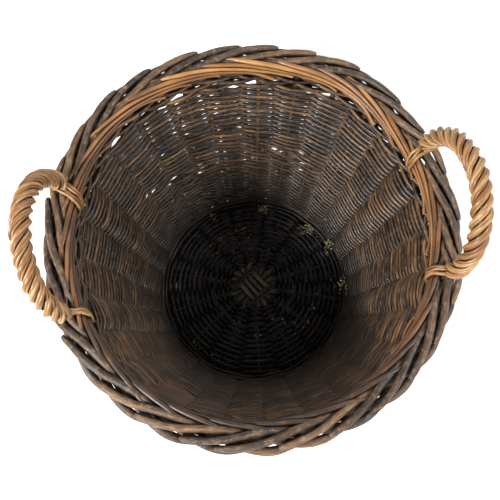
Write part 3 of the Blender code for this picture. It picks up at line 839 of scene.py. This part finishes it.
def handleLine(side, steps):
    half = handle["turnsWide"] / 2 * math.tau / stakeCount
    spread, out = basket["wallTopRadius"] * math.sin(half), basket["wallTopRadius"] * math.cos(half)
    points = []
    for step in range(steps + 1):
        angle = math.pi * step / steps
        belly = 1 + handle["belly"] * math.sin(angle)
        across = spread * belly * math.copysign(abs(math.cos(angle)) ** handle["roundness"], math.cos(angle))
        rise = handle["rise"] * max(0.0, math.sin(angle)) ** handle["roundness"]
        points.append(Vector((side * (out + rise * math.tan(handle["lean"])), side * across,
                              borderTop + handle["ropeGap"] + rise)))
    return points


def makeBows():
    rng = random.Random(15)
    legSteps = handle["legSteps"]
    for word, side in (("left", -1), ("right", 1)):
        arch = handleLine(side, handle["archSteps"])
        legs = []
        for end in (arch[0], arch[-1]):
            leg = []
            for step in range(legSteps + 1):
                height = basket["wallTop"] - handle["legDepth"] * (1 - step / legSteps)
                inward = wallRadius(height) / basket["wallTopRadius"]
                leg.append(Vector((end.x * inward, end.y * inward, height)))
            legs.append(leg)
        line = legs[0] + arch + list(reversed(legs[1]))
        radii = [handle["bowRadius"]] * len(line)
        for step in range(legSteps + 1):
            share = handle["legPoint"] + handle["legTaper"] * step / legSteps
            radii[step] = radii[-1 - step] = handle["bowRadius"] * share
        makeRods(f"handle_bow_rod_{word}", [(line, radii, rng.random())], handle, [f"handle_bow_{word}"])


makeBows()

# roping: bundles of thin rods twisted round each bow, whose ends go over the border
roping = {
    "bundles": 4, "rodsInBundle": 3, "strand": 0.0023, "girth": (0.92, 1.1), "taper": 0.95,
    "outside": 0.0116, "bulge": 0.0006, "lead": 0.056, "stop": 0.009, "steps": 240,
    "memberTurn": 0.33, "memberDrop": 0.0021, "slack": 0.175, "stray": 0.08, "lift": 0.0006, "swell": 0.0005,
    "sides": 9, "knobbliness": 0.0003, "knobSpacing": 0.010, "skin": goldenWillow, "cutEnd": cutPale,
    "slot": "handle_roping"
}
# each tail's steps, outward and upward from the top of the wall: over the border, then down into the wall
tailRoute = ((0.0, 0.0040, 0.0385), (1.0, -0.0065, 0.0368), (2.0, -0.0160, 0.0302), (3.0, -0.0195, 0.0170),
             (4.0, -0.0165, 0.0040), (5.0, -0.0070, -0.0040))
# leg, how many tails lie over the border there, and how far round they sweep as they go in
legTails = ((-1.17, 3, 0.22), (1.83, 3, 0.13), (12.83, 2, -0.30), (15.83, 4, -0.42))
tail = {"spacing": 0.085, "sweepLate": 1.3, "sway": 0.04, "girth": (0.9, 1.05), "tip": 0.8, "steps": 40}


def ropeTails(side, rng):
    tails = []
    length = tailRoute[-1][0]
    for leg, count, sweep in (legTails[2:] if side < 0 else legTails[:2]):
        for number in range(count):
            line = []
            spread = (number - (count - 1) / 2) * tail["spacing"]
            for step in range(tail["steps"] + 1):
                along = length * step / tail["steps"]
                out, up = smoothThrough(tailRoute, along)
                swept = sweep * (along / length) ** tail["sweepLate"]
                turns = leg + spread + swept + tail["sway"] * wander(along, number, leg)
                line.append(placeAtRim(out, turns, up))
            girth = roping["strand"] * rng.uniform(*tail["girth"])
            tails.append((line, widths(line, girth, girth * tail["tip"], rng), rng.random()))
    return tails


def ropeStrand(arch, travelled, side, bundle, member, rng):
    offCentre = member - (roping["rodsInBundle"] - 1) / 2
    drift = rng.uniform(0, 90)
    girth = roping["strand"] * rng.uniform(*roping["girth"])
    line = []
    for index, point in enumerate(arch):
        spot = travelled[index]
        if not roping["stop"] < spot < travelled[-1] - roping["stop"]:
            continue
        along = (arch[min(index + 1, len(arch) - 1)] - arch[max(index - 1, 0)]).normalized()
        across = along.cross(Vector((side, 0.0, 0.0))).normalized()
        outward = across.cross(along)
        angle = math.tau * (spot / roping["lead"] + bundle / roping["bundles"])
        angle += roping["slack"] * wander(spot * 14, 3.3, bundle)
        angle += offCentre * roping["memberTurn"] + roping["stray"] * wander(spot * 30, drift)
        reach = roping["outside"] - girth - roping["memberDrop"] * abs(offCentre)
        reach += roping["lift"] * wander(spot * 40, drift, 2) + roping["swell"] * wander(spot * 18, bundle * 9.0)
        reach = min(reach, roping["outside"] + roping["bulge"] - girth)
        line.append(point + (outward * math.cos(angle) + across * math.sin(angle)) * reach)
    return line, widths(line, girth, girth * roping["taper"], rng), rng.random()


def makeRoping():
    rng = random.Random(31)
    for word, side in (("left", -1), ("right", 1)):
        arch = handleLine(side, roping["steps"])
        travelled = [0.0]
        for before, after in zip(arch, arch[1:]):
            travelled.append(travelled[-1] + (after - before).length)
        rods = [ropeStrand(arch, travelled, side, bundle, member, rng)
                for bundle in range(roping["bundles"]) for member in range(roping["rodsInBundle"])]
        rods += ropeTails(side, rng)
        makeRods(f"handle_roping_rods_{word}", rods, roping, [f"handle_roping_{word}"])


makeRoping()

# stage: a white floor and soft studio light, with the camera above the mouth
stage = {
    "floorHalf": 6.0, "floorColour": "#ffffff", "floorRoughness": 0.9, "worldStrength": 1.34,
    "sky": ((0.0, "#ffffff"), (0.45, "#f4f4f4"), (0.75, "#8a8a8a"), (0.92, "#4a4a4a"), (1.0, "#3c3c3c")),
    "aim": (0, 0, 0.3)
}
softboxes = (("key softbox", (-1.2, -0.9, 1.5), 60.0, 0.35), ("side softbox", (1.3, -0.5, 1.5), 20.0, 0.35),
             ("back softbox", (0.6, 1.3, 1.4), 5.0, 0.5))  # place, watts, width
cameraView = {
    "azimuth": -4.05, "elevation": 75.06, "roll": -2.31, "target": (-0.0052, -0.0253, 0.375),
    "distance": 0.65, "lens": 39.60, "sensor": 36.0, "nearest": 0.01
}


def makeFloor():
    mesh = bpy.data.meshes.new("studio floor")
    half = stage["floorHalf"]
    mesh.from_pydata([(-half, -half, 0), (half, -half, 0), (half, half, 0), (-half, half, 0)], [], [(0, 1, 2, 3)])
    floor = bpy.data.objects.new("studio_floor", mesh)
    bpy.context.scene.collection.objects.link(floor)
    paint = bpy.data.materials.new("matt white board")
    paint.use_nodes = True
    shader = paint.node_tree.nodes["Principled BSDF"]
    shader.inputs["Base Color"].default_value = hexColour(stage["floorColour"])
    shader.inputs["Roughness"].default_value = stage["floorRoughness"]
    mesh.materials.append(paint)


def makeLight():
    # a white studio that is bright round the sides and dim straight above, where the camera hangs
    world = bpy.data.worlds.new("soft studio")
    bpy.context.scene.world = world
    world.use_nodes = True
    sky = world.node_tree
    heading = addNode(sky, "ShaderNodeTexCoord", out="Generated")
    upward = addNode(sky, "ShaderNodeSeparateXYZ", {0: heading}, out="Z")
    fade = addNode(sky, "ShaderNodeValToRGB", {"Fac": upward})
    setRamp(fade, stage["sky"])
    sky.links.new(fade, sky.nodes["Background"].inputs["Color"])
    sky.nodes["Background"].inputs["Strength"].default_value = stage["worldStrength"]
    for name, spot, power, width in softboxes:
        light = bpy.data.lights.new(name, "AREA")
        light.energy = power
        light.size = width
        made = bpy.data.objects.new(name, light)
        bpy.context.scene.collection.objects.link(made)
        made.location = spot
        made.rotation_euler = (Vector(stage["aim"]) - Vector(spot)).to_track_quat("-Z", "Y").to_euler()


def makeCamera():
    azimuth, elevation = math.radians(cameraView["azimuth"]), math.radians(cameraView["elevation"])
    back = Vector((math.sin(azimuth) * math.cos(elevation), -math.cos(azimuth) * math.cos(elevation),
                   math.sin(elevation)))
    data = bpy.data.cameras.new("camera")
    data.lens = cameraView["lens"]
    data.sensor_width = cameraView["sensor"]
    data.clip_start = cameraView["nearest"]
    made = bpy.data.objects.new("camera", data)
    bpy.context.scene.collection.objects.link(made)
    made.location = Vector(cameraView["target"]) + back * cameraView["distance"]
    turn = (-back).to_track_quat("-Z", "Y").to_matrix().to_4x4()
    made.rotation_euler = (turn @ Matrix.Rotation(math.radians(cameraView["roll"]), 4, "Z")).to_euler()
    bpy.context.scene.camera = made
    bpy.context.scene.view_settings.view_transform = "Standard"


makeFloor()
makeLight()
makeCamera()
print("stage set")
